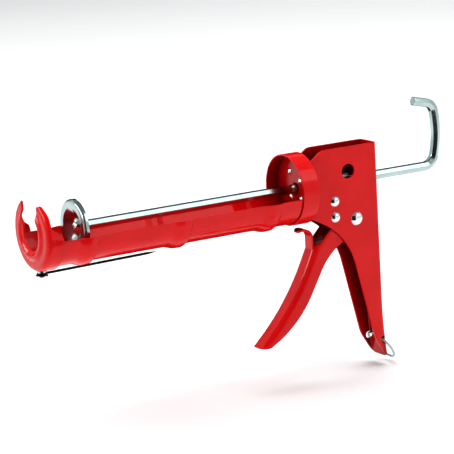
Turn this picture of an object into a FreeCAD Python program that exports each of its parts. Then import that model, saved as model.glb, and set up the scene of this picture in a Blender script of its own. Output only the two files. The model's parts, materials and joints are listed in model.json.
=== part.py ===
import FreeCAD, Part
import math
import os

from FreeCAD import Vector

os.makedirs("parts", exist_ok=True)

# A cradle caulking gun, in millimetres. +Z is up, the nozzle end points along -X and the gun's left
# side faces -Y. The origin is on the rod's axis, at the front face of the plate the cartridge is
# pushed away from.

# --- driving dimensions -------------------------------------------------------------------------

# rod and plunger
ROD_FLATS = 7.0
ROD_CLEARANCE = 0.08
ROD_HOLE_R = 4.5
PLUNGER_X = -197.8
PLUNGER_R = 21.0
PLUNGER_RECESS_R = 15.0
PLUNGER_DISH = 4.2
PLUNGER_FLOOR_R = 6.5
PLUNGER_SHEET = 1.5
PLUNGER_LIP = 4.0
PLUNGER_WASHER = 1.5
PLUNGER_WASHER_R = 8.0
SCREW_R = 2.5
SCREW_DEPTH = 12.0
SCREW_HEAD_R = 4.8
SCREW_HEAD_H = 3.6
SCREW_RECESS_R = 2.6
SCREW_RECESS_DEPTH = 1.2
SCREW_RECESS_HALF = 0.6
HOOK_START_X = 123.0
HOOK_LOW_BEND_R = 11.0
HOOK_LEG_BEND_R = 80.0
HOOK_TOP_BEND_R = 9.0
HOOK_TIP_LENGTH = 13.5

# cradle, collar and cap
CRADLE_R = 27.0
CRADLE_SHEET = 1.3
CRADLE_EDGE_Z = -3.9
BEAD_HEIGHT = 2.3
BEAD_FIRST_X = -194.1
BEAD_PITCH = 80.0
BEAD_COUNT = 3
CAP_FRONT_X = -232.4
CAP_REAR_X = -219.4
CAP_SHEET = 1.8
CAP_CORNER_R = 4.0
CAP_RIB_R = 17.3
CAP_RIB_HEIGHT = 1.7
CAP_DIMPLE_R = 1.6
SLOT_R = 12.2
SLOT_CENTRE_Z = -1.2
PRONG_TOP_Z = 22.9
PRONG_TIP_R = 2.2
COLLAR_R = 28.5
COLLAR_SHEET = 1.2
COLLAR_FRONT_X = -10.0
COLLAR_REAR_X = 4.6
PLATE_SHEET = 2.0
COLLAR_RIVETS = ((7.3, 12.7), (7.3, -7.7), (-7.3, 6.5), (-7.3, -7.7))
COLLAR_RIVET_R = 1.6

# handle frame
FRAME_SHEET = 1.8
FRAME_HALF = 11.25
FRAME_REAR_X = 70.7
FRAME_TOP_Z = 28.8
FRAME_BEND_R = 3.0
FRAME_FOOT_Z = -149.2
FRAME_FOOT_R = 7.5
FRAME_DEPTH = 150.0
FLANGE_INNER_Y = 4.6
FLANGE_LOW_Z = -13.5
FLANGE_TOP_Z = 15.0
CUTTER_HOLE = (42.7, 9.0)
CUTTER_HOLE_R = 6.0
FRAME_RIVET_X = 29.3
FRAME_RIVET_Z = (-13.5, -26.4)
FRAME_RIVET_R = 2.0
SPACER_R = 3.5
RING_HOLE = (69.3, -133.5)
RING_HOLE_R = 3.0

# trigger and drive
PIVOT = (49.2, -30.3)
PIVOT_SHANK_R = 3.0
BUSHING_R = 5.0
RUNNING_FIT = 0.05
TRIGGER_HALF = 9.0
TRIGGER_SHEET = 1.6
TRIGGER_BEND_R = 5.0
TRIGGER_DEPTH = 140.0
WINDOW_HALF = 7.9
WINDOW_LOW_Z = -46.5
WINDOW_TOP_Z = -20.0
TAB_CENTRE = (2.5, -41.3)
TAB_ROOT = (9.3, -50.5)
TAB_R = 8.5
TAB_HALF = 5.0
TAB_SWEEP = 122.0
PUSHER_ARM = 9.5
PUSHER_PIN_R = 2.5
GRIP_PLATE = 3.0
GRIP_HALF = 5.8
GRIP_TOP_Z = 6.2
GRIP_LOW_Z = -24.5
GRIP_CORNER_R = 2.5
SPRING_R = 7.5
SPRING_WIRE_R = 0.8
SPRING_TURNS = 8
SEAT_WASHER = 1.0
SEAT_WASHER_R = 7.6
BLADE_SHEET = 1.2
BLADE_EDGE_X = 49.5
BLADE_STEP_LOW_Z = -14.4
BLADE_STEP_HIGH_Z = -10.6

# seal punch and hang ring
PUNCH_X = -225.6
PUNCH_Z = -31.2
PUNCH_WIRE_R = 1.0
PUNCH_PIN_R = 2.0
PUNCH_HEAD_R = 4.9
PUNCH_HEAD_H = 1.5
PUNCH_WASHER_R = 3.5
PUNCH_TAIL_R = 3.4
PUNCH_TAIL_H = 0.9
PUNCH_LENGTH = 98.5
PUNCH_RISE = 0.6
PUNCH_YAW = 1.5
PUNCH_TAPER = 5.0
PUNCH_POINT_R = 0.25
RING_R = 13.6
RING_WIRE_R = 1.0
RING_LEAN = 35.5

# --- worked-out places --------------------------------------------------------------------------

FRAME_INNER = FRAME_HALF - FRAME_SHEET
FLANGE_REAR_X = PLATE_SHEET + FRAME_SHEET
SEAT_REAR_X = FLANGE_REAR_X + SEAT_WASHER
PUSHER = (PIVOT[0], PIVOT[1] + PUSHER_ARM)
GRIP_REAR_X = PUSHER[0] - PUSHER_PIN_R - RUNNING_FIT
GRIP_MID_X = GRIP_REAR_X - GRIP_PLATE
GRIP_FRONT_X = GRIP_MID_X - GRIP_PLATE
DISC_FLOOR_X = PLUNGER_X + PLUNGER_DISH
DISC_BACK_X = DISC_FLOOR_X + PLUNGER_SHEET
ROD_FRONT_X = DISC_BACK_X + PLUNGER_WASHER
CAP_R = CRADLE_R + CAP_SHEET
X_AXIS = Vector(1, 0, 0)
Y_AXIS = Vector(0, 1, 0)
Z_AXIS = Vector(0, 0, 1)
FAR = 60.0


# --- helpers ------------------------------------------------------------------------------------

def rounded_wire(corners, place, closed=True):
    """A wire of straight runs and tangent arcs. Each corner is (a, b, radius), and place turns
    (a, b) into a point."""
    count = len(corners)
    last = count if closed else count - 1
    starts = []
    ends = []
    arcs = []
    for i in range(count):
        a, b, radius = corners[i]
        here = Vector(a, b, 0)
        if radius == 0 or (not closed and i in (0, count - 1)):
            starts.append(here)
            ends.append(here)
            arcs.append(None)
            continue
        before = corners[i - 1]
        after = corners[(i + 1) % count]
        back = (Vector(before[0], before[1], 0) - here).normalize()
        ahead = (Vector(after[0], after[1], 0) - here).normalize()
        half = back.getAngle(ahead) / 2
        reach = radius / math.tan(half)
        middle = (back + ahead).normalize() * (radius / math.sin(half) - radius)
        starts.append(here + back * reach)
        ends.append(here + ahead * reach)
        arcs.append(here + middle)
    edges = []
    for i in range(count):
        if arcs[i] is not None:
            points = [place(p.x, p.y) for p in (starts[i], arcs[i], ends[i])]
            edges.append(Part.Arc(*points).toShape())
        if i < last:
            one = ends[i]
            two = starts[(i + 1) % count]
            if (two - one).Length > 1e-6:
                edges.append(Part.LineSegment(place(one.x, one.y), place(two.x, two.y)).toShape())
    return Part.Wire(edges)


def side_plate(corners, y0, y1):
    """A plate whose outline lies in the XZ plane, from y0 to y1."""
    wire = rounded_wire(corners, lambda a, b: Vector(a, y0, b))
    return Part.Face(wire).extrude(Vector(0, y1 - y0, 0))


def turned(corners):
    """A solid turned about the X axis from (x, radius) corners."""
    wire = rounded_wire(corners, lambda a, b: Vector(a, 0, b))
    return Part.Face(wire).revolve(Vector(0, 0, 0), X_AXIS, 360)


def rod_x(radius, x0, x1, y=0.0, z=0.0):
    return Part.makeCylinder(radius, x1 - x0, Vector(x0, y, z), X_AXIS)


def rod_y(radius, y0, y1, x, z):
    return Part.makeCylinder(radius, y1 - y0, Vector(x, y0, z), Y_AXIS)


def rod_z(radius, z0, z1, x, y=0.0):
    return Part.makeCylinder(radius, z1 - z0, Vector(x, y, z0), Z_AXIS)


def block(x0, x1, y0, y1, z0, z1):
    return Part.makeBox(x1 - x0, y1 - y0, z1 - z0, Vector(x0, y0, z0))


def hexagon(flats, place):
    """A closed hexagonal wire with flats at the top and bottom."""
    corner = flats / math.sqrt(3)
    points = [place(corner * math.cos(math.radians(60 * k)), corner * math.sin(math.radians(60 * k)))
              for k in range(7)]
    return Part.makePolygon(points)


def offset_corners(corners, distance):
    """The same open line moved sideways by distance, to the right of its run when positive."""
    moved = []
    for i, (a, b, radius) in enumerate(corners):
        here = Vector(a, b, 0)
        normals = []
        for j in (i - 1, i + 1):
            if 0 <= j < len(corners):
                other = Vector(corners[j][0], corners[j][1], 0)
                run = here - other if j < i else other - here
                run.normalize()
                normals.append(Vector(run.y, -run.x, 0))
        side = normals[0] + normals[-1]
        side.normalize()
        reach = distance / side.dot(normals[0])
        turn = normals[0].cross(normals[-1]).z
        change = distance if turn > 0 else -distance
        moved.append((a + side.x * reach, b + side.y * reach, radius + change if radius else 0))
    return moved


def channel(line, depth, half, sheet, bend, facing):
    """A U-folded sheet whose web follows an open line in the XZ plane. The sides run depth away
    from it, towards +X for facing 1 and towards -X for facing -1."""
    parts = []
    right = facing if line[-1][1] > line[0][1] else -facing
    for inset in (0, sheet):
        run = offset_corners(line, right * inset)
        far = [(run[-1][0] + facing * depth, run[-1][1], 0), (run[0][0] + facing * depth, run[0][1], 0)]
        width = half - inset
        solid = side_plate(run + far, -width, width)
        path = rounded_wire(run, lambda a, b: Vector(a, 0, b), closed=False)
        folds = [edge for edge in solid.Edges if follows(edge, path, width)]
        parts.append(solid.makeFillet(bend - inset, folds))
    return parts[0].cut(parts[1])


def follows(edge, path, width):
    """True for an edge that runs along the path at either side of a channel."""
    if edge.BoundBox.YLength > 0.01:
        return False
    middle = edge.valueAt((edge.FirstParameter + edge.LastParameter) / 2)
    if abs(abs(middle.y) - width) > 0.01:
        return False
    return Part.Vertex(Vector(middle.x, 0, middle.z)).distToShape(path)[0] < 0.01


def rivet(head_r, head_h, shank_r, tail_r, tail_h, base, direction, grip):
    """A rivet whose domed head stands on base, with its shank running back along direction."""
    dome_r = (head_r ** 2 + head_h ** 2) / (2 * head_h)
    shape = Part.makeCylinder(shank_r, grip, base, direction)
    ball = Part.makeSphere(dome_r, base - direction * (head_h - dome_r))
    cap = Part.makeCylinder(head_r, head_h + 1, base, direction * -1)
    shape = shape.fuse(ball.common(cap))
    tail = Part.makeCone(tail_r, tail_r * 0.8, tail_h, base + direction * grip, direction)
    return shape.fuse(tail).removeSplitter()


def write(name, shapes):
    """Save one node: one solid, or a group of alike solids."""
    if not isinstance(shapes, list):
        shapes = [shapes]
    solids = []
    for shape in shapes:
        solids += shape.removeSplitter().Solids
    valid = all(solid.isValid() for solid in solids)
    result = solids[0] if len(solids) == 1 else Part.makeCompound(solids)
    result.exportStep("parts/" + name + ".step")
    volume = sum(solid.Volume for solid in solids)
    print("%-22s solids %d valid %s volume %.1f" % (name, len(solids), valid, volume))


# --- barrel -------------------------------------------------------------------------------------

def bead_profile(radius):
    """The wall's line along the cradle, with its beads, as (x, radius, corner radius) corners from
    front to rear."""
    corners = []
    for k in range(BEAD_COUNT):
        crest = BEAD_FIRST_X + k * BEAD_PITCH
        corners.append((crest - 9.5, radius, 12.0))
        corners.append((crest - 2.5, radius + BEAD_HEIGHT, 8.0))
        corners.append((crest + 3.0, radius + BEAD_HEIGHT, 1.6))
        corners.append((crest + 5.2, radius, 1.4))
    return corners


def cradle():
    inner_r = CRADLE_R - CRADLE_SHEET
    front = CAP_FRONT_X + CAP_CORNER_R
    outside = [(front, CRADLE_R, 0)] + bead_profile(CRADLE_R) + [(0, CRADLE_R, 0)]
    inside = [(front, inner_r, 0)] + bead_profile(inner_r) + [(0, inner_r, 0)]
    shape = turned(outside + inside[::-1])
    shape = shape.cut(block(front - 1, 1, -FAR, FAR, CRADLE_EDGE_Z, FAR))
    return shape.cut(rod_z(PUNCH_PIN_R, -FAR, 0, PUNCH_X))


def front_cap():
    wall = CAP_SHEET
    face = CAP_FRONT_X
    rib = CAP_RIB_HEIGHT
    rib_half = 3.4
    front_line = [(face, 4, 0),
                  (face, CAP_RIB_R - rib_half, 2.5),
                  (face - rib, CAP_RIB_R - 0.9, 1.4),
                  (face - rib, CAP_RIB_R + 0.9, 1.4),
                  (face, CAP_RIB_R + rib_half, 2.5),
                  (face, CAP_R, CAP_CORNER_R),
                  (CAP_REAR_X, CAP_R, 0)]
    back_line = [(CAP_REAR_X, CRADLE_R, 0),
                 (face + wall, CRADLE_R, CAP_CORNER_R - wall),
                 (face + wall, CAP_RIB_R + rib_half, 1.0),
                 (face - rib + wall, CAP_RIB_R + 0.7, 0.6),
                 (face - rib + wall, CAP_RIB_R - 0.7, 0.6),
                 (face + wall, CAP_RIB_R - rib_half, 1.0),
                 (face + wall, 4, 0)]
    shape = turned(front_line + back_line)
    slot = rod_x(SLOT_R, face - 5, face + 6, 0, SLOT_CENTRE_Z)
    slot = slot.fuse(block(face - 5, face + 6, -SLOT_R, SLOT_R, SLOT_CENTRE_Z, FAR))
    shape = shape.cut(slot)
    side_cut = [(face + 2.2, PRONG_TOP_Z + 1, 0),
                (face + 4.2, PRONG_TOP_Z - 7, 14),
                (face + 4.2, 7.4, 3),
                (CAP_REAR_X - 0.9, 1.2, 3),
                (CAP_REAR_X, -2.0, 0),
                (CAP_REAR_X + 3, -2.0, 0),
                (CAP_REAR_X + 3, FAR, 0),
                (face + 2.2, FAR, 0)]
    shape = shape.cut(side_plate(side_cut, -FAR, FAR))
    shape = shape.cut(block(face - 5, CAP_REAR_X, -FAR, FAR, PRONG_TOP_Z, FAR))
    tips = [edge for edge in shape.Edges if is_prong_tip_edge(edge)]
    shape = shape.makeFillet(PRONG_TIP_R, tips)
    for side in (-1, 1):
        dimple = Part.makeSphere(CAP_DIMPLE_R, Vector(face + 6.7, side * (CAP_R + 0.9), -1.7))
        shape = shape.cut(dimple)
    return shape.cut(rod_z(PUNCH_PIN_R, -FAR, 0, PUNCH_X))


def is_prong_tip_edge(edge):
    """The short edges at the inner top corners of the prongs."""
    box = edge.BoundBox
    at_slot = abs(abs(box.Center.y) - SLOT_R) < 0.01
    return at_slot and abs(box.ZMax - PRONG_TOP_Z) < 0.01 and box.ZLength < 0.01


def collar_band():
    outer = rod_x(COLLAR_R, COLLAR_FRONT_X, COLLAR_REAR_X)
    inner = rod_x(COLLAR_R - COLLAR_SHEET, COLLAR_FRONT_X - 1, COLLAR_REAR_X + 1)
    return outer.cut(inner)


def collar_plate():
    shape = rod_x(COLLAR_R - COLLAR_SHEET, 0, PLATE_SHEET)
    shape = shape.cut(rod_x(ROD_HOLE_R, -1, PLATE_SHEET + 1))
    for y, z in COLLAR_RIVETS:
        shape = shape.cut(rod_x(COLLAR_RIVET_R, -1, PLATE_SHEET + 1, y, z))
    return shape


def collar_rivets():
    head_r = 2.75
    head_h = 1.4
    tail_r = 2.05
    tail_h = 0.9
    return [rivet(head_r, head_h, COLLAR_RIVET_R, tail_r, tail_h, Vector(0, y, z), X_AXIS,
                  FLANGE_REAR_X) for y, z in COLLAR_RIVETS]


# --- handle frame -------------------------------------------------------------------------------

FRAME_REAR = [(FRAME_REAR_X, FRAME_TOP_Z + 20, 0),
              (FRAME_REAR_X, -118.0, 380),
              (FRAME_REAR_X + 6.2, -178.0, 0)]
FRAME_OUTLINE = [(PLATE_SHEET, 16.6, 0),
                 (18.4, FRAME_TOP_Z, 8),
                 (FRAME_REAR_X + 5, FRAME_TOP_Z, 0),
                 (FRAME_REAR_X + 7, FRAME_FOOT_Z, 0),
                 (73.0, FRAME_FOOT_Z, 2.5),
                 (61.8, -131.0, 24),
                 (40.4, -42.3, 58),
                 (PLATE_SHEET, -22.0, 0)]


def rounded_foot():
    """The space inside the handle's outline as seen from behind, with its two low corners round."""
    corners = [(-FRAME_HALF - 1, FAR, 0),
               (-FRAME_HALF, FRAME_FOOT_Z + 2 * FRAME_FOOT_R, 0),
               (-FRAME_HALF, FRAME_FOOT_Z, FRAME_FOOT_R),
               (FRAME_HALF, FRAME_FOOT_Z, FRAME_FOOT_R),
               (FRAME_HALF, FRAME_FOOT_Z + 2 * FRAME_FOOT_R, 0),
               (FRAME_HALF + 1, FAR, 0)]
    wire = rounded_wire(corners, lambda a, b: Vector(-FAR, a, b))
    return Part.Face(wire).extrude(Vector(3 * FAR, 0, 0))


def handle_frame():
    shape = channel(FRAME_REAR, FRAME_DEPTH, FRAME_HALF, FRAME_SHEET, FRAME_BEND_R, -1)
    shape = shape.common(side_plate(FRAME_OUTLINE, -FRAME_HALF - 1, FRAME_HALF + 1))
    shape = shape.common(rounded_foot())
    for side in (-1, 1):
        y0 = min(side * FLANGE_INNER_Y, side * (FRAME_INNER + 0.5))
        y1 = max(side * FLANGE_INNER_Y, side * (FRAME_INNER + 0.5))
        flange = block(PLATE_SHEET, FLANGE_REAR_X, y0, y1, FLANGE_LOW_Z, FLANGE_TOP_Z)
        shape = shape.fuse(flange)
    for y, z in COLLAR_RIVETS:
        shape = shape.cut(rod_x(COLLAR_RIVET_R, 0, FLANGE_REAR_X + 1, y, z))
    shape = shape.cut(rod_y(CUTTER_HOLE_R, -FAR, 0, *CUTTER_HOLE))
    for z in FRAME_RIVET_Z:
        shape = shape.cut(rod_y(FRAME_RIVET_R, -FAR, FAR, FRAME_RIVET_X, z))
    shape = shape.cut(rod_y(PIVOT_SHANK_R, -FAR, FAR, *PIVOT))
    shape = shape.cut(rod_x(ROD_HOLE_R, FRAME_REAR_X - 5, FRAME_REAR_X + 5))
    for side in (-1, 1):
        ends = sorted((side * FRAME_HALF * 2 / 3, side * FAR))
        shape = shape.cut(rod_y(RING_HOLE_R, ends[0], ends[1], *RING_HOLE))
    return shape


def frame_rivets():
    head_r = 4.25
    head_h = 2.2
    tail_r = 3.6
    tail_h = 1.4
    return [rivet(head_r, head_h, FRAME_RIVET_R, tail_r, tail_h,
                  Vector(FRAME_RIVET_X, -FRAME_HALF, z), Y_AXIS, 2 * FRAME_HALF)
            for z in FRAME_RIVET_Z]


def frame_spacers():
    sleeves = []
    for z in FRAME_RIVET_Z:
        sleeve = rod_y(SPACER_R, -FRAME_INNER, FRAME_INNER, FRAME_RIVET_X, z)
        sleeves.append(sleeve.cut(rod_y(FRAME_RIVET_R, -FAR, FAR, FRAME_RIVET_X, z)))
    return sleeves


def pivot_rivet():
    head_r = 5.5
    head_h = 2.7
    tail_r = 4.8
    tail_h = 1.8
    base = Vector(PIVOT[0], -FRAME_HALF, PIVOT[1])
    return rivet(head_r, head_h, PIVOT_SHANK_R, tail_r, tail_h, base, Y_AXIS, 2 * FRAME_HALF)


def pivot_bushing():
    sleeve = rod_y(BUSHING_R, -FRAME_INNER, FRAME_INNER, *PIVOT)
    return sleeve.cut(rod_y(PIVOT_SHANK_R, -FAR, FAR, *PIVOT))


# --- trigger ------------------------------------------------------------------------------------

TRIGGER_FRONT = [(-62.5, -140.8, 0),
                 (-10.6, -91.3, 190),
                 (10.2, -48.8, 12),
                 (30.9, -27.2, 6),
                 (30.9, 10.0, 0)]
TRIGGER_EDGE = [(-62.1, -122.3, 0),
                (-35.6, -122.3, 3),
                (-7.8, -107.2, 90),
                (21.9, -55.9, 50),
                (50.2, -39.5, 6),
                (58.3, -39.5, 8.3),
                (58.3, -27.0, 8),
                (54.7, -15.3, 5.3),
                (43.7, -15.3, 5.3),
                (39.9, -30.0, 4),
                (27.2, -31.0, 2),
                (-2.1, -31.0, 0)]


def trigger():
    shape = channel(TRIGGER_FRONT, TRIGGER_DEPTH, TRIGGER_HALF, TRIGGER_SHEET, TRIGGER_BEND_R, 1)
    shape = shape.common(side_plate(TRIGGER_EDGE, -TRIGGER_HALF - 1, TRIGGER_HALF + 1))
    window = block(5.0, 40.0, -WINDOW_HALF, WINDOW_HALF, WINDOW_LOW_Z, WINDOW_TOP_Z)
    shape = shape.cut(window)
    shape = shape.fuse(finger_tab())
    shape = shape.cut(rod_y(BUSHING_R + RUNNING_FIT, -FAR, FAR, *PIVOT))
    return shape.cut(rod_y(PUSHER_PIN_R, -FAR, FAR, *PUSHER))


def finger_tab():
    """The tongue lanced from the web and curled forwards over the finger."""
    centre_x, centre_z = TAB_CENTRE
    outer = TAB_R
    inner = TAB_R - TRIGGER_SHEET
    tip = math.radians(TAB_SWEEP)

    def on_arc(radius, angle):
        x = centre_x + radius * math.cos(angle)
        return Vector(x, -TAB_HALF, centre_z + radius * math.sin(angle))

    root = Vector(TAB_ROOT[0], -TAB_HALF, TAB_ROOT[1])
    root_back = root + Vector(TRIGGER_SHEET, 0, 0)
    tip_middle = on_arc((outer + inner) / 2, tip + 0.1)
    edges = [Part.Arc(on_arc(outer, 0), on_arc(outer, tip / 2), on_arc(outer, tip)).toShape(),
             Part.Arc(on_arc(outer, tip), tip_middle, on_arc(inner, tip)).toShape(),
             Part.Arc(on_arc(inner, tip), on_arc(inner, tip / 2), on_arc(inner, 0)).toShape(),
             Part.LineSegment(on_arc(inner, 0), root).toShape(),
             Part.LineSegment(root, root_back).toShape(),
             Part.LineSegment(root_back, on_arc(outer, 0)).toShape()]
    tab = Part.Face(Part.Wire(edges)).extrude(Vector(0, 2 * TAB_HALF, 0))
    round_x = on_arc(outer, tip).x + TAB_HALF - 0.5
    tongue = rod_z(TAB_HALF, -FAR, 0, round_x)
    return tab.common(tongue.fuse(block(round_x, FAR, -TAB_HALF, TAB_HALF, -FAR, 0)))


def pusher_pin():
    return rod_y(PUSHER_PIN_R, -TRIGGER_HALF, TRIGGER_HALF, *PUSHER)


def spout_cutter_blade():
    """A flat blade on the pivot and the pusher pin, stepped outwards to run beside the hole."""
    low_y = -TRIGGER_HALF + TRIGGER_SHEET
    high_y = -FRAME_INNER + 0.2
    step_low = BLADE_STEP_LOW_Z
    step_high = BLADE_STEP_HIGH_Z
    sheet = BLADE_SHEET
    section = [(low_y, -40), (low_y, step_low), (high_y, step_high), (high_y, 20),
               (high_y + sheet, 20), (high_y + sheet, step_high), (low_y + sheet, step_low),
               (low_y + sheet, -40), (low_y, -40)]
    bent = Part.Face(Part.makePolygon([Vector(30, y, z) for y, z in section]))
    bent = bent.extrude(Vector(40, 0, 0))
    outline = [(41.5, -37.5, 6),
               (42.1, -23.0, 4),
               (BLADE_EDGE_X, -12.0, 3),
               (BLADE_EDGE_X, 16.4, 1.5),
               (59.4, 13.0, 3),
               (58.9, -16.0, 5),
               (56.9, -37.5, 6)]
    shape = bent.common(side_plate(outline, -20, 0))
    back_y = high_y + sheet + 0.01
    bevel = [Vector(BLADE_EDGE_X - 0.1, back_y, -9), Vector(BLADE_EDGE_X + 1.8, back_y, -9),
             Vector(BLADE_EDGE_X - 0.1, high_y + 0.15, -9)]
    edge_cut = Part.makePolygon(bevel + bevel[:1])
    shape = shape.cut(Part.Face(edge_cut).extrude(Vector(0, 0, 30)))
    shape = shape.cut(rod_y(BUSHING_R + RUNNING_FIT, -FAR, FAR, *PIVOT))
    return shape.cut(rod_y(PUSHER_PIN_R, -FAR, FAR, *PUSHER))


# --- drive --------------------------------------------------------------------------------------

def grip_plate(x0):
    """A hardened plate on the rod; its long lower end meets the pusher pin."""
    outline = [(-GRIP_HALF, GRIP_TOP_Z, GRIP_CORNER_R),
               (GRIP_HALF, GRIP_TOP_Z, GRIP_CORNER_R),
               (GRIP_HALF, GRIP_LOW_Z, GRIP_CORNER_R),
               (-GRIP_HALF, GRIP_LOW_Z, GRIP_CORNER_R)]
    wire = rounded_wire(outline, lambda a, b: Vector(x0, a, b))
    shape = Part.Face(wire).extrude(Vector(GRIP_PLATE, 0, 0))
    hole = hexagon(ROD_FLATS + 2 * ROD_CLEARANCE, lambda a, b: Vector(x0 - 1, a, b))
    return shape.cut(Part.Face(hole).extrude(Vector(GRIP_PLATE + 2, 0, 0)))


def drive_spring():
    """A round-wire coil between the seat washer and the front grip plate. Each half turn is an arc
    in a plane of its own, leaning by half the pitch."""
    coil_r = SPRING_R - SPRING_WIRE_R
    start = SEAT_REAR_X + SPRING_WIRE_R
    step = (GRIP_FRONT_X - SPRING_WIRE_R - start) / (2 * SPRING_TURNS)
    turns = []
    for k in range(2 * SPRING_TURNS):
        side = 1 if k % 2 == 0 else -1
        one = Vector(start + step * k, 0, side * coil_r)
        two = Vector(start + step * (k + 1), 0, -side * coil_r)
        axis = Y_AXIS.cross(one - two) * -side
        wire = Part.Wire(Part.makeCircle(SPRING_WIRE_R, one, Y_AXIS))
        turns.append(Part.Face(wire).revolve((one + two) / 2, axis, 180))
    return turns[0].multiFuse(turns[1:])


def spring_seat_washer():
    shape = rod_x(SEAT_WASHER_R, FLANGE_REAR_X, SEAT_REAR_X)
    return shape.cut(rod_x(ROD_HOLE_R, 0, SEAT_REAR_X + 1))


# --- rod and plunger ----------------------------------------------------------------------------

def hook_path():
    """The rod's centre line, from its front end round the ladder hook to its tip."""
    def turn(point, heading, radius, angle):
        normal = Vector(-math.sin(heading), 0, math.cos(heading))
        centre = point + normal * radius
        ends = []
        for part in (0.5, 1.0):
            phase = heading + angle * part
            ends.append(centre + Vector(math.sin(phase), 0, -math.cos(phase)) * radius)
        return Part.Arc(point, ends[0], ends[1]).toShape(), ends[1], heading + angle

    start = Vector(ROD_FRONT_X, 0, 0)
    point = Vector(HOOK_START_X, 0, 0)
    edges = [Part.LineSegment(start, point).toShape()]
    heading = 0.0
    bends = ((HOOK_LOW_BEND_R, 75.0), (HOOK_LEG_BEND_R, 26.5), (HOOK_TOP_BEND_R, 65.9))
    for radius, degrees in bends:
        edge, point, heading = turn(point, heading, radius, math.radians(degrees))
        edges.append(edge)
    tip = point + Vector(math.cos(heading), 0, math.sin(heading)) * HOOK_TIP_LENGTH
    edges.append(Part.LineSegment(point, tip).toShape())
    return Part.Wire(edges)


def push_rod():
    section = hexagon(ROD_FLATS, lambda a, b: Vector(ROD_FRONT_X, a, b))
    shape = hook_path().makePipeShell([section], True, False)
    return shape.cut(rod_x(SCREW_R, ROD_FRONT_X - 1, ROD_FRONT_X + SCREW_DEPTH))


def plunger_disc():
    x = PLUNGER_X
    t = PLUNGER_SHEET
    lip = PLUNGER_LIP
    slope = math.atan2(PLUNGER_DISH, PLUNGER_RECESS_R - PLUNGER_FLOOR_R)
    outward = t * math.tan(slope / 2)
    front_line = [(DISC_FLOOR_X, SCREW_R, 0),
                  (DISC_FLOOR_X, PLUNGER_FLOOR_R, 8.0),
                  (x, PLUNGER_RECESS_R, 1.2),
                  (x, PLUNGER_R, 2.2),
                  (x + lip, PLUNGER_R, 0)]
    back_line = [(x + lip, PLUNGER_R - t, 0),
                 (x + t, PLUNGER_R - t, 0.7),
                 (x + t, PLUNGER_RECESS_R + outward, 2.7),
                 (DISC_BACK_X, PLUNGER_FLOOR_R + outward, 6.5),
                 (DISC_BACK_X, SCREW_R, 0)]
    return turned(front_line + back_line)


def plunger_screw():
    """A domed cross-recess screw through the disc and the washer into the end of the rod."""
    grip = PLUNGER_SHEET + PLUNGER_WASHER + SCREW_DEPTH - 2
    screw = rivet(SCREW_HEAD_R, SCREW_HEAD_H, SCREW_R, SCREW_R, 0.6, Vector(DISC_FLOOR_X, 0, 0),
                  X_AXIS, grip)
    head_top = DISC_FLOOR_X - SCREW_HEAD_H
    floor = head_top + SCREW_RECESS_DEPTH
    half = SCREW_RECESS_HALF
    wide = SCREW_HEAD_R
    slot = block(head_top - 1, floor, -half, half, -wide, wide)
    cross = block(head_top - 1, floor, -wide, wide, -half, half)
    limit = rod_x(SCREW_RECESS_R, head_top - 1, DISC_FLOOR_X)
    return screw.cut(slot.fuse(cross).common(limit))


def plunger_washer():
    shape = rod_x(PLUNGER_WASHER_R, DISC_BACK_X, ROD_FRONT_X)
    return shape.cut(rod_x(SCREW_R, DISC_BACK_X - 1, ROD_FRONT_X + 1))


# --- seal punch and hang ring -------------------------------------------------------------------

def seal_punch():
    """A wire with an eye round its rivet and a pointed free end, just under the cradle."""
    eye_r = PUNCH_PIN_R + RUNNING_FIT + PUNCH_WIRE_R
    centre = Vector(PUNCH_X, 0, PUNCH_Z)
    eye = Part.makeTorus(eye_r, PUNCH_WIRE_R, centre, Z_AXIS)
    yaw = math.radians(PUNCH_YAW)
    run = Vector(math.cos(yaw) * PUNCH_LENGTH, math.sin(yaw) * PUNCH_LENGTH, PUNCH_RISE)
    direction = Vector(run)
    direction.normalize()
    start = centre + direction * eye_r
    length = run.Length - eye_r - PUNCH_TAPER
    wire = Part.makeCylinder(PUNCH_WIRE_R, length, start, direction)
    point = Part.makeCone(PUNCH_WIRE_R, PUNCH_POINT_R, PUNCH_TAPER, start + direction * length,
                          direction)
    shape = eye.fuse([wire, point])
    return shape.cut(rod_z(PUNCH_PIN_R + RUNNING_FIT, -FAR, 0, PUNCH_X))


def seal_punch_rivet():
    """A flat-headed rivet under the cap, with its tail set against the inside of the cradle."""
    head_top = PUNCH_Z - PUNCH_WIRE_R - RUNNING_FIT
    tail_z = -math.sqrt((CRADLE_R - CRADLE_SHEET) ** 2 - PUNCH_TAIL_R ** 2)
    outline = [(0, head_top - PUNCH_HEAD_H, 0),
               (PUNCH_HEAD_R, head_top - PUNCH_HEAD_H, 1.0),
               (PUNCH_HEAD_R, head_top, 0.3),
               (PUNCH_PIN_R, head_top, 0),
               (PUNCH_PIN_R, tail_z, 0),
               (PUNCH_TAIL_R, tail_z, 0),
               (PUNCH_TAIL_R, tail_z + PUNCH_TAIL_H, 0.5),
               (0, tail_z + PUNCH_TAIL_H, 0)]
    wire = rounded_wire(outline, lambda a, b: Vector(PUNCH_X + a, 0, b))
    return Part.Face(wire).revolve(Vector(PUNCH_X, 0, 0), Z_AXIS, 360)


def seal_punch_washer():
    shape = rod_z(PUNCH_WASHER_R, PUNCH_Z + PUNCH_WIRE_R + RUNNING_FIT, -CAP_R + 1.0, PUNCH_X)
    shape = shape.cut(rod_x(CAP_R, PUNCH_X - 10, PUNCH_X + 10))
    return shape.cut(rod_z(PUNCH_PIN_R, -FAR, 0, PUNCH_X))


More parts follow.
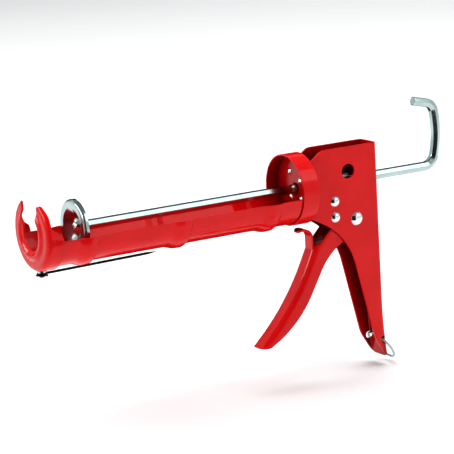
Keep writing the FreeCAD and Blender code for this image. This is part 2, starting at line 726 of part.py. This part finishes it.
def hang_ring():
    """A closed wire ring through the two holes at the foot of the handle."""
    lean = math.radians(RING_LEAN)
    down = Vector(math.sin(lean), 0, -math.cos(lean))
    reach = math.sqrt(RING_R ** 2 - (FRAME_HALF - FRAME_SHEET / 2) ** 2)
    centre = Vector(RING_HOLE[0], 0, RING_HOLE[1]) + down * reach
    axis = Vector(math.cos(lean), 0, math.sin(lean))
    return Part.makeTorus(RING_R, RING_WIRE_R, centre, axis)


for piece in (cradle, front_cap, collar_band, collar_plate, collar_rivets, handle_frame,
              frame_rivets, frame_spacers, pivot_rivet, pivot_bushing, trigger, pusher_pin,
              spout_cutter_blade, drive_spring, spring_seat_washer, push_rod, plunger_disc,
              plunger_screw, plunger_washer, seal_punch, seal_punch_rivet, seal_punch_washer,
              hang_ring):
    write(piece.__name__, piece())
write("grip_plate_front", grip_plate(GRIP_FRONT_X))
write("grip_plate_rear", grip_plate(GRIP_MID_X))
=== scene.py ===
import json
import math

import bpy
from mathutils import Matrix, Vector


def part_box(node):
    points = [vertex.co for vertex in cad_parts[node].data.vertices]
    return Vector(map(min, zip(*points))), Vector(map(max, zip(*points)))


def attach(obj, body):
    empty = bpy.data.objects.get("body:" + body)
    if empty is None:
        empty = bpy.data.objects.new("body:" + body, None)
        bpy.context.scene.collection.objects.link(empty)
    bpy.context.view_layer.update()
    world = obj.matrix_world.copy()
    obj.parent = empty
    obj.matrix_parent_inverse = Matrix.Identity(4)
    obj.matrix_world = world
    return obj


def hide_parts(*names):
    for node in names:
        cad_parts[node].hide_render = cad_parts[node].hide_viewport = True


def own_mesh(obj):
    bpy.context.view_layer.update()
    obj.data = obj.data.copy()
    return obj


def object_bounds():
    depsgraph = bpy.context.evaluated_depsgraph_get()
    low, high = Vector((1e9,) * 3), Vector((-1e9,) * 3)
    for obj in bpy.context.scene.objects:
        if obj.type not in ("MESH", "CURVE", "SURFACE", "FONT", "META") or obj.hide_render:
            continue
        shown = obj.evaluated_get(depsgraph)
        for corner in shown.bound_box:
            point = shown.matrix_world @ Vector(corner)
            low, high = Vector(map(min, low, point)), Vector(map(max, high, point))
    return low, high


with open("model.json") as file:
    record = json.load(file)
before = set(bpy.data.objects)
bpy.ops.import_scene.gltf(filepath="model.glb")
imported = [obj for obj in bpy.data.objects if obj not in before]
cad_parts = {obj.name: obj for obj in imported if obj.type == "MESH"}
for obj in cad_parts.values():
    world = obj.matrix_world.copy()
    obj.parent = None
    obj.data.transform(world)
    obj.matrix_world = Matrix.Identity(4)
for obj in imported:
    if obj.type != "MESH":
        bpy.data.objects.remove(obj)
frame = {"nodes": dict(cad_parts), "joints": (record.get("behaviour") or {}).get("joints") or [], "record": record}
cad_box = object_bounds()


def joint(name):
    """A joint's row in the frame."""
    return next(row for row in frame["joints"] if row["name"] == name)


# --- the camera: a long lens at the gun's left front, a little above it -------------------------

CAMERA_AZIMUTH = math.radians(-30.04)
CAMERA_ELEVATION = math.radians(12.06)
CAMERA_ROLL = math.radians(-3.30)
CAMERA_DISTANCE = 1.8602
CAMERA_LENS = 190.0
CAMERA_SENSOR = 36.0
CAMERA_REACH = 20.0
CAMERA_TARGET = Vector((-0.06428, 0.0, -0.02101))


def add_camera():
    """The scene's camera, placed by its angles round the target and then rolled."""
    sin_a, cos_a = math.sin(CAMERA_AZIMUTH), math.cos(CAMERA_AZIMUTH)
    sin_e, cos_e = math.sin(CAMERA_ELEVATION), math.cos(CAMERA_ELEVATION)
    back = Vector((sin_a * cos_e, -cos_a * cos_e, sin_e))
    right = Vector((cos_a, sin_a, 0.0))
    level_up = back.cross(right)
    sin_r, cos_r = math.sin(CAMERA_ROLL), math.cos(CAMERA_ROLL)
    turned_right = right * cos_r + level_up * sin_r
    turned_up = level_up * cos_r - right * sin_r
    data = bpy.data.cameras.new("camera")
    data.lens = CAMERA_LENS
    data.sensor_width = CAMERA_SENSOR
    data.clip_end = CAMERA_REACH
    camera = bpy.data.objects.new("camera", data)
    bpy.context.scene.collection.objects.link(camera)
    turn = Matrix((turned_right, turned_up, back)).transposed().to_4x4()
    camera.matrix_world = Matrix.Translation(CAMERA_TARGET + back * CAMERA_DISTANCE) @ turn
    bpy.context.scene.camera = camera


# --- the studio: a pale floor in a white tent, with black flags, a bright strip and soft lights -

FLOOR_GAP = 0.003
FLOOR_Z = cad_box[0][2] - FLOOR_GAP
FLOOR_HALF = 9.0
FLOOR_LEVEL = 0.9
FLOOR_ROUGHNESS = 0.9
WORLD_TINT = (0.97, 0.985, 1.0, 1.0)
WORLD_STRENGTH = 0.22
PAINT_SPECULAR = 0.2

FLAG_Z = cad_box[0][2] - FLOOR_GAP / 2
FLAG_LEVEL = 0.008
FRONT_FLAG_AZIMUTH = math.radians(-37)
FRONT_FLAG_NEAR, FRONT_FLAG_NEAR_WIDTH = 0.25, 0.4
FRONT_FLAG_FAR, FRONT_FLAG_FAR_WIDTH = 2.25, 2.3
FRONT_FLAG_TOP = 1.7
BACK_FLAG_FEET = ((-1.0, 3.0), (3.4, 1.4))
BACK_FLAG_LOW, BACK_FLAG_TOP = 0.15, 1.6
BACK_FLOOR_FLAG = ((-0.1, 0.05), (0.6, 0.05), (0.9, 1.3), (-0.1, 1.3))

STRIP_FEET = ((-2.4, -0.4), (-1.9, 1.6))
STRIP_LOW, STRIP_TOP = 0.75, 1.2
STRIP_TINT = (1.0, 1.0, 1.0, 1.0)
STRIP_STRENGTH = 9.0
TENT_SIDES = 32
TENT_RADIUS = 3.2
TENT_TOP = 2.4
TENT_TINT = (0.94, 1.0, 1.0, 1.0)
TENT_STRENGTH = 0.7


def add_area_light(name, place, target, width, height, power, in_gloss=True):
    """A soft box that faces its target. Reflections show it only if in_gloss says so."""
    data = bpy.data.lights.new(name, "AREA")
    data.shape = "RECTANGLE"
    data.size = width
    data.size_y = height
    data.energy = power
    light = bpy.data.objects.new(name, data)
    bpy.context.scene.collection.objects.link(light)
    light.location = place
    light.rotation_euler = (Vector(target) - Vector(place)).to_track_quat("-Z", "Y").to_euler()
    light.visible_glossy = in_gloss


def add_world():
    """A faint even light from all round."""
    world = bpy.data.worlds.new("studio")
    world.use_nodes = True
    background = world.node_tree.nodes["Background"]
    background.inputs["Color"].default_value = WORLD_TINT
    background.inputs["Strength"].default_value = WORLD_STRENGTH
    bpy.context.scene.world = world


def plain_paint(name, level, roughness):
    """A grey paint or cloth of one level."""
    material = bpy.data.materials.new(name)
    material.use_nodes = True
    shader = material.node_tree.nodes["Principled BSDF"]
    shader.inputs["Base Color"].default_value = (level, level, level, 1.0)
    shader.inputs["Roughness"].default_value = roughness
    shader.inputs["Specular IOR Level"].default_value = PAINT_SPECULAR
    return material


def glowing_cloth(name, tint, strength):
    """A black cloth that gives off its own light."""
    material = plain_paint(name, 0.0, 1.0)
    shader = material.node_tree.nodes["Principled BSDF"]
    shader.inputs["Emission Color"].default_value = tint
    shader.inputs["Emission Strength"].default_value = strength
    return material


def add_sheet(name, points, faces, paint):
    """A piece of the studio, which isn't part of the gun."""
    mesh = bpy.data.meshes.new(name)
    mesh.from_pydata(points, [], faces)
    mesh.materials.append(paint)
    sheet = bpy.data.objects.new(name, mesh)
    bpy.context.scene.collection.objects.link(sheet)
    return sheet


def lying(points, z):
    """The corners of a level panel."""
    return [(x, y, z) for x, y in points]


def standing(feet, low, top):
    """The corners of an upright panel over a line between two feet."""
    one, two = feet
    return [(*one, low), (*two, low), (*two, top), (*one, top)]


def add_floor():
    """The pale floor, a little below the gun."""
    half = FLOOR_HALF
    corners = lying([(-half, -half), (half, -half), (half, half), (-half, half)], FLOOR_Z)
    add_sheet("floor", corners, [(0, 1, 2, 3)], plain_paint("floor_paint", FLOOR_LEVEL, FLOOR_ROUGHNESS))


def seen_in_gloss_only(sheet):
    """Hide a sheet from everything except reflections."""
    sheet.visible_camera = False
    sheet.visible_diffuse = False
    sheet.visible_shadow = False


def add_gloss_panel(name, corners, paint):
    """A four-sided panel that only reflections see."""
    seen_in_gloss_only(add_sheet(name, corners, [(0, 1, 2, 3)], paint))


def add_front_flags():
    """A black flag lies on the floor in front of the gun and widens away from it, and one stands
    at its far end. They give bright metal its dark bands."""
    ahead = Vector((math.sin(FRONT_FLAG_AZIMUTH), -math.cos(FRONT_FLAG_AZIMUTH), 0.0))
    aside = Vector((ahead.y, -ahead.x, 0.0))
    ends = []
    for distance, width in ((FRONT_FLAG_NEAR, FRONT_FLAG_NEAR_WIDTH),
                            (FRONT_FLAG_FAR, FRONT_FLAG_FAR_WIDTH)):
        left = ahead * distance + aside * (-width / 2)
        right = ahead * distance + aside * (width / 2)
        ends.append(((left.x, left.y), (right.x, right.y)))
    near, far = ends
    cloth = plain_paint("flag_cloth", FLAG_LEVEL, 1.0)
    add_gloss_panel("floor_flag", lying([near[0], near[1], far[1], far[0]], FLAG_Z), cloth)
    add_gloss_panel("standing_flag", standing(far, FLAG_Z, FRONT_FLAG_TOP), cloth)


def add_back_flags():
    """A black flag stands behind the gun, and one lies on the floor there."""
    cloth = plain_paint("back_flag_cloth", FLAG_LEVEL, 1.0)
    add_gloss_panel("back_flag", standing(BACK_FLAG_FEET, BACK_FLAG_LOW, BACK_FLAG_TOP), cloth)
    add_gloss_panel("back_floor_flag", lying(BACK_FLOOR_FLAG, FLAG_Z), cloth)


def add_strip():
    """A bright strip to the left of the picture, which draws white lines along the gun's folds."""
    cloth = glowing_cloth("strip_cloth", STRIP_TINT, STRIP_STRENGTH)
    add_gloss_panel("left_strip", standing(STRIP_FEET, STRIP_LOW, STRIP_TOP), cloth)


def add_tent():
    """A white tent round the floor's middle: the backdrop, which the camera and reflections see."""
    z = cad_box[0][2]
    points = []
    faces = []
    for k in range(TENT_SIDES):
        angle = math.tau * k / TENT_SIDES
        x, y = TENT_RADIUS * math.cos(angle), TENT_RADIUS * math.sin(angle)
        points += [(x, y, z), (x, y, TENT_TOP)]
        one, two = 2 * k, 2 * ((k + 1) % TENT_SIDES)
        faces.append((one, two, two + 1, one + 1))
    tent = add_sheet("tent", points, faces, glowing_cloth("tent_cloth", TENT_TINT, TENT_STRENGTH))
    seen_in_gloss_only(tent)
    tent.visible_camera = True


# --- fine meshes --------------------------------------------------------------------------------

STEEL_EDGE = 0.0003
EDGE_STEPS = 3
EDGE_LEAST_ANGLE = math.radians(35.0)
WELD_REACH = 1e-6

ROD_FLATS = 0.007
ROD_CORNER = 0.0011
ROD_CORNER_STEPS = 4
ROD_CHAMFER = 0.0004
HOOK_START_X = 0.123
HOOK_BENDS = ((0.011, 75.0), (0.080, 26.5), (0.009, 65.9))  # radius, then degrees
HOOK_BEND_STEPS = 16
HOOK_TIP_LENGTH = 0.0135

SPRING_WIRE_R = 0.0008
SPRING_TURNS = 8
SPRING_CLOSED_PITCH = 2.1 * SPRING_WIRE_R
SPRING_STEPS = 40
SPRING_SIDES = 14

PUNCH_WIRE_R = 0.001
PUNCH_EYE_R = 0.00305
PUNCH_EYE_START, PUNCH_EYE_TURN = 32, 296  # degrees
PUNCH_EYE_STEPS = 36
PUNCH_NECK_LENGTH = 0.006
PUNCH_NECK_PULL = 0.45
PUNCH_NECK_STEPS = 12
PUNCH_SHANK_STEPS = 24
PUNCH_TAPER_LENGTH = 0.007
PUNCH_TIP_SHARE = 0.2

RING_WIRE_R = 0.00093
RING_SLACK = 0.00007
RING_JOINT_ANGLE = math.radians(150)
RING_HALF_GAP = math.radians(2.0)
RING_STEPS = 120
WIRE_SIDES = 18


def soften(node):
    """Round a CAD node's sharp edges with a true bevel."""
    piece = frame["nodes"][node]
    weld = piece.modifiers.new("weld", "WELD")
    weld.merge_threshold = WELD_REACH
    bevel = piece.modifiers.new("bevel", "BEVEL")
    bevel.width = STEEL_EDGE
    bevel.segments = EDGE_STEPS
    bevel.limit_method = "ANGLE"
    bevel.angle_limit = EDGE_LEAST_ANGLE
    bevel.miter_outer = "MITER_ARC"
    normals = piece.modifiers.new("normals", "WEIGHTED_NORMAL")
    normals.keep_sharp = False


def mesh_piece(name, vertices, faces):
    """A piece of the gun whose four-sided faces are smooth and whose end faces are flat."""
    mesh = bpy.data.meshes.new(name)
    mesh.from_pydata(vertices, [], faces)
    for polygon in mesh.polygons:
        polygon.use_smooth = len(polygon.vertices) == 4
    mesh.update()
    piece = bpy.data.objects.new(name, mesh)
    bpy.context.scene.collection.objects.link(piece)
    return piece


def wire(name, points, radii, sides):
    """A round wire along points, with a radius for each point and a flat face at each end."""
    last = len(points) - 1
    side = None
    vertices = []
    for k in range(last + 1):
        run = (points[min(k + 1, last)] - points[max(k - 1, 0)]).normalized()
        if side is None:
            side = run.orthogonal().normalized()
        side = (side - run * side.dot(run)).normalized()
        other = run.cross(side)
        for j in range(sides):
            angle = math.tau * j / sides
            vertices.append(points[k] + (side * math.cos(angle) + other * math.sin(angle)) * radii[k])
    faces = []
    for k in range(last):
        one, two = k * sides, (k + 1) * sides
        for j in range(sides):
            near, far = j, (j + 1) % sides
            faces.append((one + near, one + far, two + far, two + near))
    faces.append(tuple(range(sides))[::-1])
    faces.append(tuple(range(last * sides, (last + 1) * sides)))
    return mesh_piece(name, vertices, faces)


def stand_in(piece, node, body):
    """Let a finer piece stand for a CAD node, with that node's finish."""
    part = next(p for p in frame["record"]["subparts"] if p["node"] == node)
    piece.data.materials.append(finishes[part["material_slot"]])
    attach(piece, body)
    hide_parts(node)


def rod_section():
    """A hexagon with rounded corners and flats at the top and bottom, as (across, up) points."""
    points = []
    for corner in range(6):
        middle = math.radians(60 * corner)
        reach = (ROD_FLATS / 2 - ROD_CORNER) / math.cos(math.radians(30))
        for step in range(ROD_CORNER_STEPS + 1):
            angle = middle + math.radians(-30 + 60 * step / ROD_CORNER_STEPS)
            points.append((reach * math.cos(middle) + ROD_CORNER * math.cos(angle),
                           reach * math.sin(middle) + ROD_CORNER * math.sin(angle)))
    return points


def rod_stations(front_x):
    """Points down the rod's centre line, each with its heading in the XZ plane."""
    stations = [(Vector((front_x, 0, 0)), 0.0), (Vector((front_x + ROD_CHAMFER, 0, 0)), 0.0),
                (Vector((HOOK_START_X, 0, 0)), 0.0)]
    for radius, degrees in HOOK_BENDS:
        point, heading = stations[-1]
        centre = point + Vector((-math.sin(heading), 0, math.cos(heading))) * radius
        for step in range(1, HOOK_BEND_STEPS + 1):
            phase = heading + math.radians(degrees) * step / HOOK_BEND_STEPS
            spoke = Vector((math.sin(phase), 0, -math.cos(phase)))
            stations.append((centre + spoke * radius, phase))
    point, heading = stations[-1]
    ahead = Vector((math.cos(heading), 0, math.sin(heading)))
    stations.append((point + ahead * (HOOK_TIP_LENGTH - ROD_CHAMFER), heading))
    stations.append((point + ahead * HOOK_TIP_LENGTH, heading))
    return stations


def add_push_rod():
    """The hexagonal rod with the drawn bar's rounded corners, bent into the ladder hook."""
    section = rod_section()
    sides = len(section)
    stations = rod_stations(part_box("push_rod")[0].x)
    last = len(stations) - 1
    vertices = []
    for k, (point, heading) in enumerate(stations):
        up = Vector((-math.sin(heading), 0, math.cos(heading)))
        size = 1.0 - 2 * ROD_CHAMFER / ROD_FLATS if k in (0, last) else 1.0
        for across, rise in section:
            vertices.append(point + Vector((0, across * size, 0)) + up * (rise * size))
    faces = [tuple(range(sides)), tuple(range(last * sides, (last + 1) * sides))[::-1]]
    for k in range(last):
        for j in range(sides):
            one, two = k * sides + j, k * sides + (j + 1) % sides
            faces.append((one, one + sides, two + sides, two))
    piece = mesh_piece("push_rod_bar", vertices, faces)
    piece.modifiers.new("normals", "WEIGHTED_NORMAL").keep_sharp = True
    stand_in(piece, "push_rod", "rod_group")


def add_drive_spring():
    """A compression spring with a closed turn at each end."""
    low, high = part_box("drive_spring")
    coil_r = high.z - SPRING_WIRE_R
    start = low.x + SPRING_WIRE_R
    length = high.x - low.x - 2 * SPRING_WIRE_R
    total = SPRING_TURNS + 2
    open_pitch = (length - 2 * SPRING_CLOSED_PITCH) / SPRING_TURNS
    points = []
    for k in range(total * SPRING_STEPS + 1):
        turn = k / SPRING_STEPS
        along = min(turn, 1.0) * SPRING_CLOSED_PITCH
        along += min(max(turn - 1.0, 0.0), SPRING_TURNS) * open_pitch
        along += max(turn - 1.0 - SPRING_TURNS, 0.0) * SPRING_CLOSED_PITCH
        angle = math.tau * turn
        points.append(Vector((start + along, coil_r * math.sin(angle), coil_r * math.cos(angle))))
    piece = wire("drive_spring_coil", points, [SPRING_WIRE_R] * len(points), SPRING_SIDES)
    stand_in(piece, "drive_spring", "body")
    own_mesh(piece)


def add_seal_punch():
    """A wire bent into an eye round its rivet, with a drawn-out point."""
    pivot = Vector(joint("seal_punch_swing")["pos_m"])
    corners = [vertex.co for vertex in frame["nodes"]["seal_punch"].data.vertices]
    tip = max(corners, key=lambda corner: corner.x).copy()
    ahead = Vector((tip.x - pivot.x, tip.y - pivot.y, 0.0)).normalized()
    aside = Vector((-ahead.y, ahead.x, 0.0))
    points = []
    for k in range(PUNCH_EYE_STEPS + 1):
        angle = math.radians(PUNCH_EYE_START + k * PUNCH_EYE_TURN / PUNCH_EYE_STEPS)
        points.append(pivot + (ahead * math.cos(angle) + aside * math.sin(angle)) * PUNCH_EYE_R)
    neck_start = points[-1]
    neck_end = pivot + ahead * (PUNCH_EYE_R + PUNCH_NECK_LENGTH)
    heading = (points[-1] - points[-2]).normalized()
    reach = (neck_end - neck_start).length
    one = neck_start + heading * reach * PUNCH_NECK_PULL
    two = neck_end - ahead * reach * PUNCH_NECK_PULL
    for k in range(1, PUNCH_NECK_STEPS + 1):
        t = k / PUNCH_NECK_STEPS
        points.append(neck_start * (1 - t) ** 3 + one * 3 * t * (1 - t) ** 2
                      + two * 3 * t * t * (1 - t) + neck_end * t ** 3)
    radii = [PUNCH_WIRE_R] * len(points)
    for k in range(1, PUNCH_SHANK_STEPS + 1):
        points.append(neck_end.lerp(tip, k / PUNCH_SHANK_STEPS))
        left = (1 - k / PUNCH_SHANK_STEPS) * (tip - neck_end).length
        share = PUNCH_TIP_SHARE + (1 - PUNCH_TIP_SHARE) * left / PUNCH_TAPER_LENGTH
        radii.append(PUNCH_WIRE_R * min(1.0, share))
    stand_in(wire("seal_punch_wire", points, radii, WIRE_SIDES), "seal_punch", "punch")


def add_hang_ring():
    """A round wire bent into a ring, its two ends almost touching."""
    low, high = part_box("hang_ring")
    centre = (low + high) / 2
    pivot = Vector(joint("hang_ring_swing")["pos_m"])
    down = (centre - pivot).normalized()
    across = Vector((0, 1, 0))
    ring_r = high.y - RING_WIRE_R - RING_SLACK
    points = []
    for k in range(RING_STEPS + 1):
        angle = RING_JOINT_ANGLE + RING_HALF_GAP + k * (math.tau - 2 * RING_HALF_GAP) / RING_STEPS
        points.append(centre + (down * math.cos(angle) + across * math.sin(angle)) * ring_r)
    piece = wire("hang_ring_wire", points, [RING_WIRE_R] * len(points), WIRE_SIDES)
    stand_in(piece, "hang_ring", "ring")


# --- finishes -----------------------------------------------------------------------------------

NOISE_LOW, NOISE_HIGH = 0.3, 0.7  # most of a noise's values lie between these
ENAMEL_DARK = (0.66, 0.002, 0.004)
ENAMEL_LIGHT = (0.76, 0.004, 0.006)
ENAMEL_SPECULAR = 0.3
ENAMEL_EDGE_R = 0.0005
# painted shade: how far the ambient occlusion reaches, and the darkest the enamel's colour is painted inside folds
FOLD_REACH = 0.032
PAINTED_FOLD_SHADE = 0.08


class Finish:
    """A node material under construction: a principled shader with a few shorthands."""

    def __init__(self, name):
        self.material = bpy.data.materials.new(name)
        self.material.use_nodes = True
        self.tree = self.material.node_tree
        self.shader = self.tree.nodes["Principled BSDF"]
        self.place = self.node("ShaderNodeTexCoord").outputs["Object"]

    def node(self, kind, **values):
        """A new node, its properties or inputs set by name."""
        made = self.tree.nodes.new(kind)
        for key, value in values.items():
            if hasattr(made, key):
                setattr(made, key, value)
            else:
                made.inputs[key.replace("_", " ").title()].default_value = value
        return made

    def link(self, source, target):
        self.tree.links.new(source, target)

    def stretched(self, scale):
        """The object's coordinates, multiplied along each axis."""
        mapping = self.node("ShaderNodeMapping")
        self.link(self.place, mapping.inputs["Vector"])
        mapping.inputs["Scale"].default_value = scale
        return mapping.outputs["Vector"]

    def noise(self, scale, detail, roughness=0.5, stretch=(1, 1, 1)):
        made = self.node("ShaderNodeTexNoise", Scale=scale, Detail=detail, Roughness=roughness)
        self.link(self.stretched(stretch), made.inputs["Vector"])
        return made.outputs["Fac"]

    def remap(self, value, low, high, start=0.0, end=1.0):
        """The value, moved from low..high to start..end."""
        made = self.node("ShaderNodeMapRange")
        self.link(value, made.inputs["Value"])
        made.inputs["From Min"].default_value = low
        made.inputs["From Max"].default_value = high
        made.inputs["To Min"].default_value = start
        made.inputs["To Max"].default_value = end
        return made.outputs["Result"]

    def blend(self, factor, dark, light):
        """A colour between dark at 0 and light at 1."""
        made = self.node("ShaderNodeMix", data_type="RGBA")
        self.link(factor, made.inputs["Factor"])
        made.inputs["A"].default_value = (*dark, 1.0)
        made.inputs["B"].default_value = (*light, 1.0)
        return made.outputs["Result"]

    def tint(self, colour, factor):
        """The colour times a factor."""
        made = self.node("ShaderNodeMix", data_type="RGBA", blend_type="MULTIPLY", Factor=1.0)
        self.link(colour, made.inputs["A"])
        self.link(factor, made.inputs["B"])
        return made.outputs["Result"]

    def openness(self, reach):
        """1 in the open, towards 0 inside narrow folds and channels, from ambient occlusion; used to paint shade
        into a colour.
        """
        made = self.node("ShaderNodeAmbientOcclusion", samples=8, Distance=reach)
        return made.outputs["AO"]

    def round_edges(self, radius):
        """Normals that turn smoothly over an edge."""
        made = self.node("ShaderNodeBevel", samples=6, Radius=radius)
        return made.outputs["Normal"]

    def bump(self, height, strength, distance, normal=None):
        made = self.node("ShaderNodeBump", Strength=strength, Distance=distance)
        self.link(height, made.inputs["Height"])
        if normal:
            self.link(normal, made.inputs["Normal"])
        return made.outputs["Normal"]


def red_enamel():
    """Stoved red enamel: glossy, a little uneven, with painted shade that darkens its colour where light can't
    reach.
    """
    finish = Finish("red_enamel")
    depth = finish.remap(finish.noise(28.0, 3.0), NOISE_LOW, NOISE_HIGH)
    base = finish.blend(depth, ENAMEL_DARK, ENAMEL_LIGHT)
    # painted shade: ambient occlusion darkens the enamel's base colour inside folds and channels
    painted_shade = finish.remap(finish.openness(FOLD_REACH), 0.25, 0.72, PAINTED_FOLD_SHADE, 1.0)
    finish.link(finish.tint(base, painted_shade), finish.shader.inputs["Base Color"])
    gloss = finish.remap(finish.noise(160.0, 3.0), NOISE_LOW, NOISE_HIGH, 0.12, 0.2)
    finish.link(gloss, finish.shader.inputs["Roughness"])
    peel = finish.bump(finish.noise(520.0, 1.0), 0.08, 0.0002, finish.round_edges(ENAMEL_EDGE_R))
    finish.link(peel, finish.shader.inputs["Normal"])
    finish.shader.inputs["Specular IOR Level"].default_value = ENAMEL_SPECULAR
    return finish.material


def drawn_zinc(name, light, dark, roughness, along):
    """Bright zinc over drawn steel, with fine lines along one axis."""
    finish = Finish(name)
    stretch = [1.0, 1.0, 1.0]
    stretch[along] = 0.02
    lines = finish.noise(1400.0, 3.0, 0.6, stretch)
    clouds = finish.noise(60.0, 3.0)
    base = finish.blend(finish.remap(clouds, NOISE_LOW, NOISE_HIGH), dark, light)
    finish.link(base, finish.shader.inputs["Base Color"])
    rough = finish.remap(lines, NOISE_LOW, NOISE_HIGH, roughness * 0.7, roughness * 1.3)
    finish.link(rough, finish.shader.inputs["Roughness"])
    finish.link(finish.bump(lines, 0.12, 0.0001), finish.shader.inputs["Normal"])
    finish.shader.inputs["Metallic"].default_value = 1.0
    return finish.material


def plain_metal(name, light, dark, roughness):
    """Plated or oiled steel with small clouds and pits."""
    finish = Finish(name)
    clouds = finish.noise(220.0, 4.0)
    base = finish.blend(finish.remap(clouds, 0.35, 0.65), dark, light)
    finish.link(base, finish.shader.inputs["Base Color"])
    pits = finish.noise(660.0, 2.0)
    rough = finish.remap(pits, NOISE_LOW, NOISE_HIGH, roughness * 0.8, roughness * 1.25)
    finish.link(rough, finish.shader.inputs["Roughness"])
    finish.link(finish.bump(clouds, 0.06, 0.0001), finish.shader.inputs["Normal"])
    finish.shader.inputs["Metallic"].default_value = 1.0
    return finish.material


finishes = {
    "red_enamel": red_enamel(),
    "zinc_plate": drawn_zinc("zinc_plate", light=(0.50, 0.61, 0.60), dark=(0.40, 0.50, 0.50),
                             roughness=0.17, along=0),
    "bright_nickel": plain_metal("bright_nickel", light=(0.90, 0.90, 0.90), dark=(0.80, 0.80, 0.80),
                                 roughness=0.1),
    "dark_steel": plain_metal("dark_steel", light=(0.38, 0.37, 0.36), dark=(0.25, 0.24, 0.24),
                              roughness=0.4),
    "black_oxide": plain_metal("black_oxide", light=(0.02, 0.02, 0.021), dark=(0.008, 0.008, 0.009),
                               roughness=0.3)}

# --- the gun ------------------------------------------------------------------------------------

for part in frame["record"]["subparts"]:
    node = frame["nodes"][part["node"]]
    node.data.materials.clear()
    node.data.materials.append(finishes[part["material_slot"]])

for name in ("cradle", "collar_band", "collar_plate", "handle_frame", "trigger"):
    soften(name)
add_push_rod()
add_drive_spring()
add_seal_punch()
add_hang_ring()

# --- the picture --------------------------------------------------------------------------------

add_camera()
add_world()
add_floor()
add_front_flags()
add_back_flags()
add_tent()
add_strip()
add_area_light("overhead", place=(0.0, 0.6, 2.4), target=(0.0, 0.6, 0.0),
               width=4.0, height=3.0, power=100, in_gloss=False)
add_area_light("right_front_box", place=(1.2, -1.5, 1.55), target=(0.0, 0.0, 0.0),
               width=1.3, height=1.3, power=8)
add_area_light("left_front_box", place=(-2.1, -1.1, 0.7), target=(0.0, 0.0, 0.0),
               width=0.9, height=1.2, power=6, in_gloss=False)

bpy.context.scene.view_settings.view_transform = "Standard"
bpy.context.scene.view_settings.look = "Medium High Contrast"
